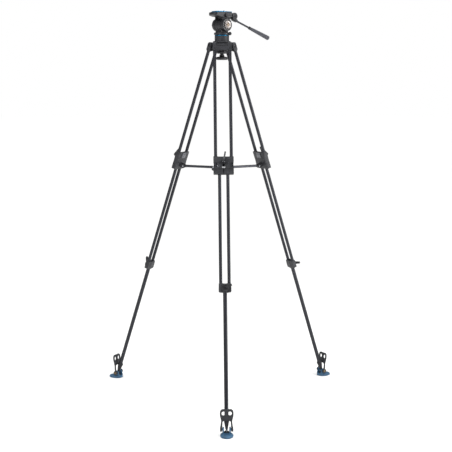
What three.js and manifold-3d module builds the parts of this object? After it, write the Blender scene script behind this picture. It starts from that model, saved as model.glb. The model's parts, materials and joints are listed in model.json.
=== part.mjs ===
// Three-section twin-tube tripod with a mid-level spreader and a fluid head.
// Millimetres, +Z up. The feet stand on z = 0 and the front leg points towards -Y.
import * as THREE from 'three';
import { mergeVertices } from 'three/addons/utils/BufferGeometryUtils.js';
import Module from 'manifold-3d';

const wasm = await Module();
wasm.setup();

// ---- driving dimensions ----
const LEG_TILT = THREE.MathUtils.degToRad(18.9); // each leg leans out from the vertical
const HINGE_RADIUS = 42.1; // leg hinge, from the tripod's axis
const HINGE_HEIGHT = 1648;
const GAP = 0.3; // clearance that touching pieces keep
const ROUND = 16; // sides of a round section
const ROUND_SMALL = 10;
const ROUND_WIDE = 24;

const TUBE_RADIUS = 7.25; // upper and middle tubes
const TUBE_WALL = 1.2;
const LOWER_TUBE_RADIUS = 9;
const ARM_RADIUS = 6;
const UPPER_SPACING = 70; // centre to centre
const MIDDLE_SPACING = 36.6;

// places along a leg, measured down from its hinge
const SHOULDER_TOP = -14.5; // above the hinge
const SHOULDER_WEB_TOP = 12;
const SHOULDER_BOTTOM = 28;
const COLLAR_TOP = 520; // at the collar's inner side
const COLLAR_TOP_FALL = 7; // its top slopes down towards the outer side by this
const COLLAR_BOTTOM = 604.6;
const COLLAR_LEVER_PLACE = 548;
const SPREADER_PLACE = 583.5;
const CLAMP_TOP = 1092;
const CLAMP_BOTTOM = 1132.5;
const CLAMP_KNOB_PLACE = 1113;

const SHOULDER_HALF_WIDTH = 43.8;
const TONGUE_HALF_WIDTH = 25.5;
const COLLAR_HALF_WIDTH = 45;
const COLLAR_HALF_DEPTH = 10;
const CLAMP_HALF_WIDTH = 27.8;
const LUG_OFFSET = 27; // spreader pivot, inwards from the leg's centre line

const HUB_PIVOT_RADIUS = 42;
const FOOT_PIVOT_HEIGHT = 27;
const PAD_HALF_WIDTH = 28;
const PAD_HALF_LENGTH = 36;
const PAD_OFFSET = 13; // pad centre, outwards from the foot pivot
const STRAP_LEAN = THREE.MathUtils.degToRad(6); // outwards from the vertical

const BOWL_TOP = 1667;
const BALL_RADIUS = 32.5;
const SEAT_CLEARANCE = 0.7; // lets the ball lean in its seat
const STEM_BOTTOM = 1590;
const HEAD_TURN = THREE.MathUtils.degToRad(-50); // pan angle of the head at rest
const RING_BOTTOM = 1679.5;
const FLANGE_BOTTOM = 1695.3;
const FLANGE_TOP = 1706;
const TILT_HEIGHT = 1740;
const DRUM_RADIUS = 29.5;
const DRUM_HALF_LENGTH = 38;
const PLATFORM_BOTTOM = 1776;
const PLATFORM_TOP = 1794;
const PLATFORM_HALF_WIDTH = 27.5;
const PLATE_TOP = 1801;
const HANDLE_ANGLE = THREE.MathUtils.degToRad(19.3); // below the horizontal
const ROSETTE = { x: 20.75, y: 58, z: 1781, radius: 15.5 };
const BAR_DROP = 17; // handle bar, below the rosette's centre
const BAR_RADIUS = 4.25;
const GRIP_START = 102; // along the bar, from under the rosette
const GRIP_END = 232;
const HUB_RADIUS = 42;

const LEGS = [
  { name: 'front', azimuth: 270, wingAngle: 158 },
  { name: 'right', azimuth: 30, wingAngle: -5 },
  { name: 'left', azimuth: 150, wingAngle: 80 },
];

// ---- finishes ----
const FINISHES = {
  tube: { color: 0x303136, roughness: 0.4, metalness: 0.8 },
  casting: { color: 0x3c3d42, roughness: 0.6, metalness: 0.3 },
  lever: { color: 0x2a2a2e, roughness: 0.5, metalness: 0 },
  rubber: { color: 0x303034, roughness: 0.85, metalness: 0 },
  pad: { color: 0x2f78ae, roughness: 0.7, metalness: 0 },
  ring: { color: 0x1c7fb8, roughness: 0.3, metalness: 0.7 },
  head: { color: 0x2c2c30, roughness: 0.5, metalness: 0.3 },
  dial: { color: 0xb9b1ab, roughness: 0.35, metalness: 0.8 },
  steel: { color: 0x8f9296, roughness: 0.3, metalness: 1 },
  grip: { color: 0x3b3b42, roughness: 0.9, metalness: 0 },
};

// ---- solids ----
function toSolid(geometry) {
  const bare = geometry.clone();
  bare.deleteAttribute('normal');
  bare.deleteAttribute('uv');
  const merged = mergeVertices(bare, 1e-3);
  const place = merged.attributes.position.array;
  const index = merged.index.array;
  const kept = [];
  const corners = [new THREE.Vector3(), new THREE.Vector3(), new THREE.Vector3()];
  let volume = 0;
  for (let i = 0; i < index.length; i += 3) {
    const [a, b, c] = index.subarray(i, i + 3);
    if (a === b || b === c || c === a) continue;
    kept.push(a, b, c);
    [a, b, c].forEach((vertex, k) => corners[k].fromArray(place, 3 * vertex));
    volume += corners[0].dot(corners[1].cross(corners[2]));
  }
  if (volume < 0) kept.reverse();
  return new wasm.Manifold(new wasm.Mesh({
    numProp: 3,
    vertProperties: Float32Array.from(place),
    triVerts: Uint32Array.from(kept),
  }));
}

function join(...geometries) {
  return geometries.map(toSolid).reduce((whole, piece) => whole.add(piece));
}

function cut(solid, ...geometries) {
  return geometries.map(toSolid).reduce((rest, tool) => rest.subtract(tool), solid);
}

function node(name, solid, finish) {
  const result = solid.getMesh();
  const geometry = new THREE.BufferGeometry();
  geometry.setAttribute('position', new THREE.Float32BufferAttribute(result.vertProperties, 3));
  geometry.setIndex(Array.from(result.triVerts));
  geometry.computeVertexNormals();
  const mesh = new THREE.Mesh(geometry, new THREE.MeshStandardMaterial(FINISHES[finish]));
  mesh.name = name;
  return mesh;
}

function box(width, depth, height, x, y, z) {
  return new THREE.BoxGeometry(width, depth, height).translate(x, y, z);
}

function rodX(radius, x0, x1, y, z, sides = ROUND_SMALL) {
  const rod = new THREE.CylinderGeometry(radius, radius, x1 - x0, sides);
  return rod.rotateZ(Math.PI / 2).translate((x0 + x1) / 2, y, z);
}

function rodY(radius, y0, y1, x, z, sides = ROUND_SMALL) {
  return new THREE.CylinderGeometry(radius, radius, y1 - y0, sides).translate(x, (y0 + y1) / 2, z);
}

function rodZ(radius, z0, z1, x = 0, y = 0, sides = ROUND) {
  const rod = new THREE.CylinderGeometry(radius, radius, z1 - z0, sides);
  return rod.rotateX(Math.PI / 2).translate(x, y, (z0 + z1) / 2);
}

// a profile of [radius, height] points turned about the Z axis
function turned(profile, sides = ROUND) {
  const points = profile.map(([radius, height]) => new THREE.Vector2(radius, height));
  return new THREE.LatheGeometry(points, sides).rotateX(Math.PI / 2);
}

function ring(inner, outer, z0, z1, sides = ROUND) {
  return turned([[inner, z0], [outer, z0], [outer, z1], [inner, z1], [inner, z0]], sides);
}

// an outline in the X-Z plane, y0 to y1 deep
function slabY(shape, y0, y1, curveSegments = 5) {
  const slab = new THREE.ExtrudeGeometry(shape, { depth: y1 - y0, bevelEnabled: false, curveSegments });
  return slab.rotateX(Math.PI / 2).translate(0, y1, 0);
}

// an outline in the Y-Z plane, x0 to x1 deep
function slabX(shape, x0, x1, curveSegments = 5) {
  const slab = new THREE.ExtrudeGeometry(shape, { depth: x1 - x0, bevelEnabled: false, curveSegments });
  return slab.rotateX(Math.PI / 2).rotateZ(Math.PI / 2).translate(x0, 0, 0);
}

function outline(...points) {
  return new THREE.Shape(points.map(([x, y]) => new THREE.Vector2(x, y)));
}

// a bar with round ends, from one centre to the other
function link(x0, y0, x1, y1, radius) {
  const heading = Math.atan2(y1 - y0, x1 - x0);
  const shape = new THREE.Shape();
  shape.absarc(x1, y1, radius, heading - Math.PI / 2, heading + Math.PI / 2);
  shape.absarc(x0, y0, radius, heading + Math.PI / 2, heading + 3 * Math.PI / 2);
  return shape;
}

// a quarter of the ball's outline, from its underside up to the level of the bowl's rim
function ballArc(radius, start, steps = 5) {
  return Array.from({ length: steps + 1 }, (_, i) => {
    const angle = start + (i / steps) * (Math.PI / 2 - start);
    return [radius * Math.sin(angle), BOWL_TOP - radius * Math.cos(angle)];
  });
}

// ---- bowl: seat for the half ball, with a tongue and hinge pins for each leg ----
function bowl() {
  const mouth = 18.5;
  const seat = BALL_RADIUS + SEAT_CLEARANCE;
  const seatArc = ballArc(seat, Math.asin(mouth / seat));
  const profile = [...seatArc, [40.5, BOWL_TOP], [40.5, 1659], [36.5, 1658], [35, 1643], [26, 1633],
    [mouth, 1633], seatArc[0]];
  const tongues = LEGS.map(({ azimuth }) => {
    const tongue = slabX(link(HINGE_RADIUS, HINGE_HEIGHT, 36, HINGE_HEIGHT, 9), -TONGUE_HALF_WIDTH,
      TONGUE_HALF_WIDTH);
    return tongue.rotateZ(THREE.MathUtils.degToRad(azimuth - 90));
  });
  const pins = LEGS.map(({ azimuth }) => {
    const reach = SHOULDER_HALF_WIDTH - 1.5;
    const pin = rodX(4, -reach, reach, HINGE_RADIUS, HINGE_HEIGHT);
    return pin.rotateZ(THREE.MathUtils.degToRad(azimuth - 90));
  });
  const hollow = turned([[0, 1620], [mouth, 1620], ...seatArc, [0, BOWL_TOP], [0, 1620]], ROUND_WIDE);
  const body = cut(join(turned(profile, ROUND_WIDE), ...tongues), hollow);
  return node('bowl', pins.map(toSolid).reduce((whole, pin) => whole.add(pin), body), 'casting');
}

// ---- one leg, in its own frame: X across, Y outwards, Z up along the leg, hinge at 0 ----
function shoulder(name) {
  const earRadius = 9.5;
  const ear = link(0, -SHOULDER_TOP - earRadius, 0, -SHOULDER_BOTTOM + earRadius, earRadius);
  const inner = TONGUE_HALF_WIDTH + 0.8;
  const ears = [-1, 1].map((side) => slabX(ear, side < 0 ? -SHOULDER_HALF_WIDTH : inner,
    side < 0 ? -inner : SHOULDER_HALF_WIDTH));
  const web = new THREE.Shape();
  web.moveTo(-inner - 2, -SHOULDER_WEB_TOP);
  web.lineTo(inner + 2, -SHOULDER_WEB_TOP);
  web.lineTo(inner + 2, -SHOULDER_BOTTOM + 2);
  web.quadraticCurveTo(0, -SHOULDER_WEB_TOP - 9, -inner - 2, -SHOULDER_BOTTOM + 2);
  const solid = join(...ears, slabY(web, -8, 8));
  const half = UPPER_SPACING / 2;
  const sockets = [-half, half].map((x) => rodZ(TUBE_RADIUS + GAP, -60, -SHOULDER_WEB_TOP - 4, x));
  const pinHole = rodX(4 + GAP, -60, 60, 0, 0);
  return node(name, cut(solid, ...sockets, pinHole), 'casting');
}

function tube(name, x, from, to, radius) {
  const piece = node(name, toSolid(ring(radius - TUBE_WALL, radius, -to, -from)), 'tube');
  piece.position.x = x;
  return piece;
}

function collar(name) {
  const wide = COLLAR_HALF_WIDTH;
  const waist = 43.9;
  const shape = outline([-wide, -COLLAR_TOP], [wide, -COLLAR_TOP], [wide, -COLLAR_TOP - 30],
    [waist, -COLLAR_TOP - 34], [waist, -COLLAR_BOTTOM + 32], [wide, -COLLAR_BOTTOM + 28],
    [wide, -COLLAR_BOTTOM], [-wide, -COLLAR_BOTTOM], [-wide, -COLLAR_BOTTOM + 28],
    [-waist, -COLLAR_BOTTOM + 32], [-waist, -COLLAR_TOP - 34], [-wide, -COLLAR_TOP - 30]);
  const cheek = link(-COLLAR_HALF_DEPTH + 2, -SPREADER_PLACE, -LUG_OFFSET, -SPREADER_PLACE, 8.5);
  const cheeks = [-10.5, 6.5].map((x) => slabX(cheek, x, x + 4));
  const solid = join(slabY(shape, -COLLAR_HALF_DEPTH, COLLAR_HALF_DEPTH), ...cheeks);
  const upper = UPPER_SPACING / 2;
  const middle = MIDDLE_SPACING / 2;
  const pin = rodX(2.5, -9, 9, -LUG_OFFSET, -SPREADER_PLACE);
  const slope = outline([-20, -COLLAR_TOP + 4], [20, -COLLAR_TOP + 4],
    [20, -COLLAR_TOP - COLLAR_TOP_FALL / 2 - COLLAR_TOP_FALL],
    [-20, -COLLAR_TOP - COLLAR_TOP_FALL / 2 + COLLAR_TOP_FALL]);
  const bored = cut(solid, slabX(slope, -wide - 5, wide + 5),
    ...[-upper, upper].map((x) => rodZ(TUBE_RADIUS + GAP, -COLLAR_BOTTOM + 8, 0, x)),
    ...[-middle, middle].map((x) => rodZ(TUBE_RADIUS + GAP, -COLLAR_BOTTOM - 5, 0, x)),
    rodZ(LOWER_TUBE_RADIUS + 0.6, -COLLAR_BOTTOM - 5, 0),
    box(2 * waist - 30, 5, 18, 0, COLLAR_HALF_DEPTH, -(COLLAR_TOP + COLLAR_BOTTOM) / 2 - 2));
  return node(name, bored.add(toSolid(pin)), 'casting');
}

// a round hub with one thin wing, turning about the Y axis through its own origin
function wingKnob(name, hubRadius, hubDepth, wing, thickness, angle) {
  const hub = rodY(hubRadius, 0, hubDepth, 0, 0, ROUND);
  const blade = slabX(outline(...wing), -thickness / 2, thickness / 2);
  const knob = node(name, join(hub, blade), 'lever');
  knob.rotation.y = -THREE.MathUtils.degToRad(angle - 90);
  return knob;
}

function collarLever(name) {
  const wing = [[3, -8], [2, 40], [4, 46], [8, 44], [27, 8], [31, 2], [29, -4], [20, -9]];
  const lever = wingKnob(name, 10, 13, wing, 7, 100);
  lever.position.set(0, COLLAR_HALF_DEPTH + GAP, -COLLAR_LEVER_PLACE);
  return lever;
}

function clamp(name) {
  const wide = CLAMP_HALF_WIDTH;
  const shape = outline([-wide + 2, -CLAMP_TOP], [wide - 2, -CLAMP_TOP], [wide, -CLAMP_TOP - 14],
    [wide, -CLAMP_BOTTOM + 4], [11, -CLAMP_BOTTOM], [-11, -CLAMP_BOTTOM], [-wide, -CLAMP_BOTTOM + 4],
    [-wide, -CLAMP_TOP - 14]);
  const half = MIDDLE_SPACING / 2;
  const bored = cut(toSolid(slabY(shape, -10, 10)),
    ...[-half, half].map((x) => rodZ(TUBE_RADIUS + GAP, -CLAMP_BOTTOM + 9, 0, x)),
    rodZ(LOWER_TUBE_RADIUS + GAP, -CLAMP_BOTTOM - 5, 0));
  return node(name, bored, 'casting');
}

function clampKnob(name, angle) {
  const wing = [[3, 2], [3, 14], [16, 32], [22, 31], [22, 24], [11, 2]];
  const knob = wingKnob(name, 15.5, 9, wing, 8, angle);
  knob.position.set(0, 10 + GAP, -CLAMP_KNOB_PLACE);
  return knob;
}

function footSpike(name, pivot) {
  const bore = LOWER_TUBE_RADIUS + GAP;
  const floor = pivot + 30; // of the socket for the tube
  const profile = [[bore, floor], [bore, pivot + 50], [11.6, pivot + 50], [13.4, pivot + 46],
    [12.4, pivot + 38], [5, pivot], [4, pivot - 8], [0, pivot - 14.6], [0, floor], [bore, floor]];
  return node(name, toSolid(turned(profile, ROUND)), 'steel');
}

// ---- foot: upright frame, X across, Y outwards, foot pivot at 0 ----
function footPad(name) {
  const oval = new THREE.Shape();
  oval.absellipse(0, 0, PAD_HALF_WIDTH, PAD_HALF_LENGTH, 0, 2 * Math.PI);
  const base = new THREE.ExtrudeGeometry(oval, { depth: 12, bevelEnabled: false, curveSegments: 12 });
  base.translate(0, PAD_OFFSET, -FOOT_PIVOT_HEIGHT);
  const lug = outline([-17, -20], [17, -20], [11, 0], [9, 7], [4, 10.5], [-4, 10.5], [-9, 7], [-11, 0]);
  const lugs = [-17.5, 11.5].map((x) => slabX(lug, x, x + 6));
  const bosses = [[-28.3, -17], [17, 28.3]].map(([x0, x1]) => rodX(4, x0, x1, 0, 0));
  return node(name, join(base, ...lugs, ...bosses), 'pad');
}

function footStrap(name) {
  const shape = new THREE.Shape();
  const legInner = 19.3;
  const legOuter = 28;
  const loopHeight = 72;
  shape.moveTo(legInner, 0);
  shape.lineTo(legOuter, 0);
  shape.lineTo(23.5, 36);
  shape.bezierCurveTo(25, 52, 30, 58, 29, 75);
  shape.bezierCurveTo(28, 89, 20, 93, 11, 91);
  shape.lineTo(-11, 91);
  shape.bezierCurveTo(-20, 93, -28, 89, -29, 75);
  shape.bezierCurveTo(-30, 58, -25, 52, -23.5, 36);
  shape.lineTo(-legOuter, 0);
  shape.lineTo(-legInner, 0);
  shape.lineTo(-17, 36);
  shape.quadraticCurveTo(0, 43, 17, 36);
  shape.closePath();
  for (const side of [-1, 1]) {
    const loop = new THREE.Path();
    loop.absellipse(side * 13.8, loopHeight, 8, 9.6, 0, 2 * Math.PI);
    shape.holes.push(loop);
  }
  const eyes = [[-legOuter, -legInner], [legInner, legOuter]].map(([x0, x1]) => rodX(10, x0, x1, 0, 0));
  const solid = cut(join(slabY(shape, -2.5, 2.5, 6), ...eyes), rodX(4 + GAP, -40, 40, 0, 0));
  return node(name, solid, 'rubber');
}

// ---- mid-level spreader: upright frame, X across, Y outwards, hub axis at 0 ----
function spreaderArm(name, reach) {
  const tubePart = rodY(ARM_RADIUS, HUB_PIVOT_RADIUS + 2, reach - 3, 0, 0, ROUND_SMALL);
  const outerEye = rodX(7, -6, 6, reach, 0);
  const innerEye = rodX(ARM_RADIUS, -4.5, 4.5, HUB_PIVOT_RADIUS, 0);
  const outerFlats = [-10, 10].map((x) => box(8, 24, 20, x, reach, 0));
  const innerFlats = [-8.5, 8.5].map((x) => box(8, 24, 16, x, HUB_PIVOT_RADIUS, 0));
  const pinHole = rodX(2.5 + GAP, -20, 20, reach, 0);
  const arm = cut(join(tubePart, outerEye, innerEye), ...outerFlats, ...innerFlats, pinHole);
  return node(name, arm, 'tube');
}

// an open notch under each arm leaves room for it to fold down between its two cheeks
function spreaderHub() {
  const plateTop = -11;
  const notchStart = 28.5;
  const notchHalf = ARM_RADIUS + 0.9;
  const cheek = outline([32, plateTop - 2], [49, plateTop - 2], [49, -2], [45, 6], [39, 6], [34, -2]);
  const pieces = [rodZ(HUB_RADIUS, plateTop - 5, plateTop)];
  const notches = [];
  for (const { azimuth } of LEGS) {
    const turn = THREE.MathUtils.degToRad(azimuth - 90);
    for (const x of [-notchHalf - 3, notchHalf]) pieces.push(slabX(cheek, x, x + 3).rotateZ(turn));
    notches.push(box(2 * notchHalf, 30, 10, 0, notchStart + 15, plateTop - 2.5).rotateZ(turn));
  }
  return node('spreader_hub', cut(join(...pieces), ...notches, rodZ(8, -60, 60)), 'casting');
}

// ---- head parts that turn about the tripod's axis ----
function halfBall() {
  const stem = 8.5;
  const depth = 30; // the ball's underside is cut flat
  const profile = [[0, STEM_BOTTOM], [stem, STEM_BOTTOM], [stem, BOWL_TOP - depth],
    ...ballArc(BALL_RADIUS, Math.acos(depth / BALL_RADIUS)), [0, BOWL_TOP], [0, STEM_BOTTOM]];
  return node('half_ball', toSolid(turned(profile, ROUND_WIDE)), 'casting');
}

// slotted, so that the stem can lean across it
function pressureCup() {
  const profile = [[0, 1610.5], [22, 1610.5], [24, 1613], [24, 1623], [19, 1625], [0, 1625], [0, 1610.5]];
  const slot = new THREE.ExtrudeGeometry(link(0, -10, 0, 10, 9.3), { depth: 40, bevelEnabled: false });
  const solid = cut(toSolid(turned(profile)), slot.rotateZ(HEAD_TURN).translate(0, 0, 1600));
  return node('pressure_cup', solid, 'lever');
}

function tieDownKnob() {
  const profile = [[0, 1582], [22, 1582], [28, 1585], [28.5, 1592], [26, 1595.5], [11.5, 1598], [11.5, 1606],
    [9, 1606], [9, 1589], [0, 1589], [0, 1582]];
  return node('tie_down_knob', toSolid(turned(profile, ROUND_WIDE)), 'lever');
}

function headBase() {
  const profile = [[0, BOWL_TOP + GAP], [29.5, BOWL_TOP + GAP], [32.5, RING_BOTTOM - GAP],
    [20, RING_BOTTOM - GAP], [20, FLANGE_BOTTOM - GAP], [0, FLANGE_BOTTOM - GAP], [0, BOWL_TOP + GAP]];
  return node('head_base', toSolid(turned(profile)), 'head');
}

function panDragRing() {
  const solid = toSolid(ring(20.4, 32.5, RING_BOTTOM, FLANGE_BOTTOM - GAP, ROUND_WIDE));
  return node('pan_drag_ring', solid, 'ring');
}

// ---- head, in its own frame: X along the tilt axis to the dial, Y towards the handle ----
function headBody() {
  const housing = rodX(28, -19, 19, 0, TILT_HEIGHT, ROUND);
  const neck = box(38, 44, 24, 0, 0, FLANGE_TOP + 8);
  const flange = rodZ(36, FLANGE_BOTTOM, FLANGE_TOP, 0, 0, ROUND_WIDE);
  const axle = rodX(7, -DRUM_HALF_LENGTH + 4, DRUM_HALF_LENGTH - 4, 0, TILT_HEIGHT, ROUND);
  return node('head_body', join(flange, neck, housing, axle), 'head');
}

function tiltPlatform() {
  const plan = new THREE.Shape();
  const wide = PLATFORM_HALF_WIDTH;
  plan.moveTo(-wide, 50);
  plan.lineTo(-wide, -44);
  plan.bezierCurveTo(-wide, -60, -14, -66, 0, -66);
  plan.bezierCurveTo(14, -66, wide, -60, wide, -44);
  plan.lineTo(wide, 38);
  plan.lineTo(13.5, 41.5);
  plan.lineTo(13.5, 66);
  plan.lineTo(-10, 66);
  plan.lineTo(-14, 56);
  plan.closePath();
  const deck = new THREE.ExtrudeGeometry(plan, {
    depth: PLATFORM_TOP - PLATFORM_BOTTOM, bevelEnabled: false, curveSegments: 6,
  }).translate(0, 0, PLATFORM_BOTTOM);
  const pieces = [deck];
  for (const side of [-1, 1]) {
    const x0 = side < 0 ? -DRUM_HALF_LENGTH : 19.5;
    const x1 = side < 0 ? -19.5 : DRUM_HALF_LENGTH;
    pieces.push(rodX(DRUM_RADIUS, x0, x1, 0, TILT_HEIGHT, ROUND_WIDE));
    pieces.push(box(7.5, 36, 26, side * 23.5, 0, PLATFORM_BOTTOM - 11));
    pieces.push(box(4, 82, 5, side * 25.5, -4, PLATFORM_TOP + 1.5));
  }
  pieces.push(rodX(ROSETTE.radius - 2.5, -10, 13.5, ROSETTE.y, ROSETTE.z, ROUND));
  const underNose = outline([-80, PLATFORM_BOTTOM - 5], [-30, PLATFORM_BOTTOM], [-80, PLATFORM_BOTTOM + 12]);
  const axleHole = rodX(7 + 2 * GAP, -DRUM_HALF_LENGTH + 3, DRUM_HALF_LENGTH - 3, 0, TILT_HEIGHT, ROUND);
  const solid = cut(join(...pieces), slabX(underNose, -40, 40), axleHole);
  return node('tilt_platform', solid, 'head');
}

function dragDial() {
  const start = DRUM_HALF_LENGTH + GAP;
  const solid = join(rodX(18, start, start + 4, 0, TILT_HEIGHT, ROUND_WIDE),
    rodX(9, start + 3, start + 7, 0, TILT_HEIGHT, ROUND));
  return node('drag_dial', solid, 'dial');
}

function tiltLockKnob() {
  const start = -DRUM_HALF_LENGTH - GAP;
  const solid = join(rodX(11, start - 13, start, 0, TILT_HEIGHT, ROUND),
    box(7, 34, 7, start - 9.5, 0, TILT_HEIGHT));
  return node('tilt_lock_knob', solid, 'lever');
}

function panLockKnob() {
  const knob = node('pan_lock_knob', join(rodX(8, 36.4, 44, 0, 0), rodX(5.5, 43, 47, 0, 0)), 'lever');
  knob.position.z = (FLANGE_BOTTOM + FLANGE_TOP) / 2;
  knob.rotation.z = THREE.MathUtils.degToRad(23);
  return knob;
}

function quickReleasePlate() {
  const half = 23.2;
  const corner = 5;
  const shape = outline([-half, -46 + corner], [-half + corner, -46], [half - corner, -46],
    [half, -46 + corner], [half, 46 - corner], [half - corner, 46], [-half + corner, 46],
    [-half, 46 - corner]);
  const depth = PLATE_TOP - PLATFORM_TOP - GAP;
  const plate = new THREE.ExtrudeGeometry(shape, { depth, bevelEnabled: false });
  plate.translate(0, 0, PLATFORM_TOP + GAP);
  return node('quick_release_plate', cut(toSolid(plate), rodZ(3.4, 1700, 1900, 0, 12)), 'ring');
}

function cameraScrew() {
  const rod = rodZ(3.1, PLATFORM_TOP + 4.6, PLATE_TOP + 5, 0, 0, 12); // starts clear of the rails
  const screw = node('camera_screw', toSolid(rod), 'steel');
  screw.position.y = 12;
  return screw;
}

function plateLockKnob() {
  const start = PLATFORM_HALF_WIDTH + GAP;
  const bar = box(4, 4, 17, start + 7, 0, 0);
  const knob = node('plate_lock_knob', join(rodX(7, start, start + 9, 0, 0), bar), 'lever');
  knob.position.z = PLATFORM_BOTTOM + 7;
  return knob;
}

// ---- handle: hangs from the rosette, bar running back and down ----
function handleMount() {
  const along = (distance) => [distance * Math.cos(HANDLE_ANGLE),
    -BAR_DROP - distance * Math.sin(HANDLE_ANGLE)];
  const block = slabX(link(...along(-8), ...along(10), 7.2), -6, 6.2);
  const disc = rodX(ROSETTE.radius, -6.7, 6.2, 0, 0, ROUND);
  const bore = rodY(BAR_RADIUS + GAP, -60, 80, 0, 0).rotateX(-HANDLE_ANGLE).translate(0, 0, -BAR_DROP);
  return node('handle_mount', cut(join(disc, block), bore), 'head');
}

function handleBar() {
  return node('handle_bar', toSolid(rodY(BAR_RADIUS, -13, GRIP_END - 12, 0, 0)), 'tube');
}

function handleGrip() {
  const bore = BAR_RADIUS + GAP;
  const profile = [[bore, GRIP_START], [6.6, GRIP_START], [7.4, GRIP_START + 8], [10.2, GRIP_END - 12],
    [10.2, GRIP_END - 4], [8, GRIP_END], [0, GRIP_END], [0, GRIP_END - 11], [bore, GRIP_END - 11],
    [bore, GRIP_START]];
  return node('handle_grip', toSolid(turned(profile).rotateX(-Math.PI / 2)), 'grip');
}

// ---- assembly ----
function buildLeg({ name, wingAngle }) {
  const leg = new THREE.Group();
  leg.position.set(0, HINGE_RADIUS, HINGE_HEIGHT);
  leg.rotation.x = LEG_TILT;
  const upper = UPPER_SPACING / 2;
  const middle = MIDDLE_SPACING / 2;
  const pivot = (HINGE_HEIGHT - FOOT_PIVOT_HEIGHT) / Math.cos(LEG_TILT);
  leg.add(
    shoulder(`${name}_shoulder`),
    tube(`${name}_upper_tube_a`, -upper, SHOULDER_WEB_TOP + 5, COLLAR_BOTTOM - 8.5, TUBE_RADIUS),
    tube(`${name}_upper_tube_b`, upper, SHOULDER_WEB_TOP + 5, COLLAR_BOTTOM - 8.5, TUBE_RADIUS),
    collar(`${name}_collar`),
    collarLever(`${name}_collar_lever`),
    tube(`${name}_middle_tube_a`, -middle, COLLAR_TOP + 10, CLAMP_BOTTOM - 9.5, TUBE_RADIUS),
    tube(`${name}_middle_tube_b`, middle, COLLAR_TOP + 10, CLAMP_BOTTOM - 9.5, TUBE_RADIUS),
    clamp(`${name}_clamp`),
    clampKnob(`${name}_clamp_knob`, wingAngle),
    tube(`${name}_lower_tube`, 0, CLAMP_TOP + 1, pivot - 30.5, LOWER_TUBE_RADIUS),
    footSpike(`${name}_foot_spike`, -pivot),
  );
  return leg;
}

function buildFoot({ name }) {
  const foot = new THREE.Group();
  const radius = HINGE_RADIUS + (HINGE_HEIGHT - FOOT_PIVOT_HEIGHT) * Math.tan(LEG_TILT);
  foot.position.set(0, radius, FOOT_PIVOT_HEIGHT);
  const strap = footStrap(`${name}_foot_strap`);
  strap.rotation.x = -STRAP_LEAN;
  foot.add(footPad(`${name}_foot_pad`), strap);
  return foot;
}

function spreaderPivot() {
  const radius = HINGE_RADIUS + SPREADER_PLACE * Math.sin(LEG_TILT) - LUG_OFFSET * Math.cos(LEG_TILT);
  const height = HINGE_HEIGHT - SPREADER_PLACE * Math.cos(LEG_TILT) - LUG_OFFSET * Math.sin(LEG_TILT);
  return { radius, height };
}

function buildLegs() {
  const legs = new THREE.Group();
  const spreader = spreaderPivot();
  for (const leg of LEGS) {
    const side = new THREE.Group();
    side.rotation.z = THREE.MathUtils.degToRad(leg.azimuth - 90);
    const arm = spreaderArm(`${leg.name}_spreader_arm`, spreader.radius);
    arm.position.z = spreader.height;
    side.add(buildLeg(leg), buildFoot(leg), arm);
    legs.add(side);
  }
  const hub = spreaderHub();
  hub.position.z = spreader.height;
  legs.add(hub);
  return legs;
}

function buildHandle() {
  const handle = new THREE.Group();
  handle.position.set(ROSETTE.x, ROSETTE.y, ROSETTE.z);
  const lever = new THREE.Group();
  lever.position.z = -BAR_DROP;
  lever.rotation.x = -HANDLE_ANGLE;
  lever.add(handleBar(), handleGrip());
  handle.add(handleMount(), lever);
  return handle;
}

function buildHead() {
  const head = new THREE.Group();
  head.rotation.z = HEAD_TURN;
  head.add(headBody(), panLockKnob(), tiltPlatform(), dragDial(), tiltLockKnob(), quickReleasePlate(),
    cameraScrew(), plateLockKnob(), buildHandle());
  return head;
}

const group = new THREE.Group();
group.add(buildLegs(), bowl(), halfBall(), pressureCup(), tieDownKnob(), headBase(), panDragRing(),
  buildHead());

// the origin is under the middle of the whole outline
group.updateMatrixWorld(true);
const centre = new THREE.Box3().setFromObject(group, true).getCenter(new THREE.Vector3());
group.position.set(-centre.x, -centre.y, 0);

export default group;
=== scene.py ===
"""A twin-tube video tripod with a fluid head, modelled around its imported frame."""
import json
import math

import bpy
from bpy.props import FloatProperty, FloatVectorProperty, PointerProperty, StringProperty
from mathutils import Matrix, Vector


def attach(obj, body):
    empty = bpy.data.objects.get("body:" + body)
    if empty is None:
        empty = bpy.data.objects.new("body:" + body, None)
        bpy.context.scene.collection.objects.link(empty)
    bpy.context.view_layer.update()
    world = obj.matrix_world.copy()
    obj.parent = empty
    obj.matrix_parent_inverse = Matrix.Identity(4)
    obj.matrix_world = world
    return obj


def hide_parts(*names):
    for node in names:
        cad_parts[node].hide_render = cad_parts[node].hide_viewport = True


bl_info = {
    "name": "Video tripod with fluid head",
    "version": (1, 0, 0),
    "blender": (4, 5, 0),
    "location": "View3D > Sidebar > Tripod",
    "description": "Builds the pieces and finishes of a twin-tube video tripod",
    "category": "Add Mesh",
}

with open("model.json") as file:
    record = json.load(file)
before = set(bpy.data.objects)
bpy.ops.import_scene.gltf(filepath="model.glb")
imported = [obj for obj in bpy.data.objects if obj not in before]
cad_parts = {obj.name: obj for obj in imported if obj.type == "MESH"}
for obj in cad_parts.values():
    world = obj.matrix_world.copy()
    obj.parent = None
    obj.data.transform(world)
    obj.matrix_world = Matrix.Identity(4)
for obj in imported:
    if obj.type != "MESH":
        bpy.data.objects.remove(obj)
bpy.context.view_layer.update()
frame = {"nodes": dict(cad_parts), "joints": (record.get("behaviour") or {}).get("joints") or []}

MM = 0.001
LEGS = ("front", "right", "left")


# ---- places, all read from the frame ----
def joint(name):
    return next(j for j in frame["joints"] if j["name"] == name)


def basis(across, out, up, origin):
    """A frame from its three directions and its origin."""
    turn = Matrix((across, out, up)).transposed().to_4x4()
    return Matrix.Translation(origin) @ turn


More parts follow.
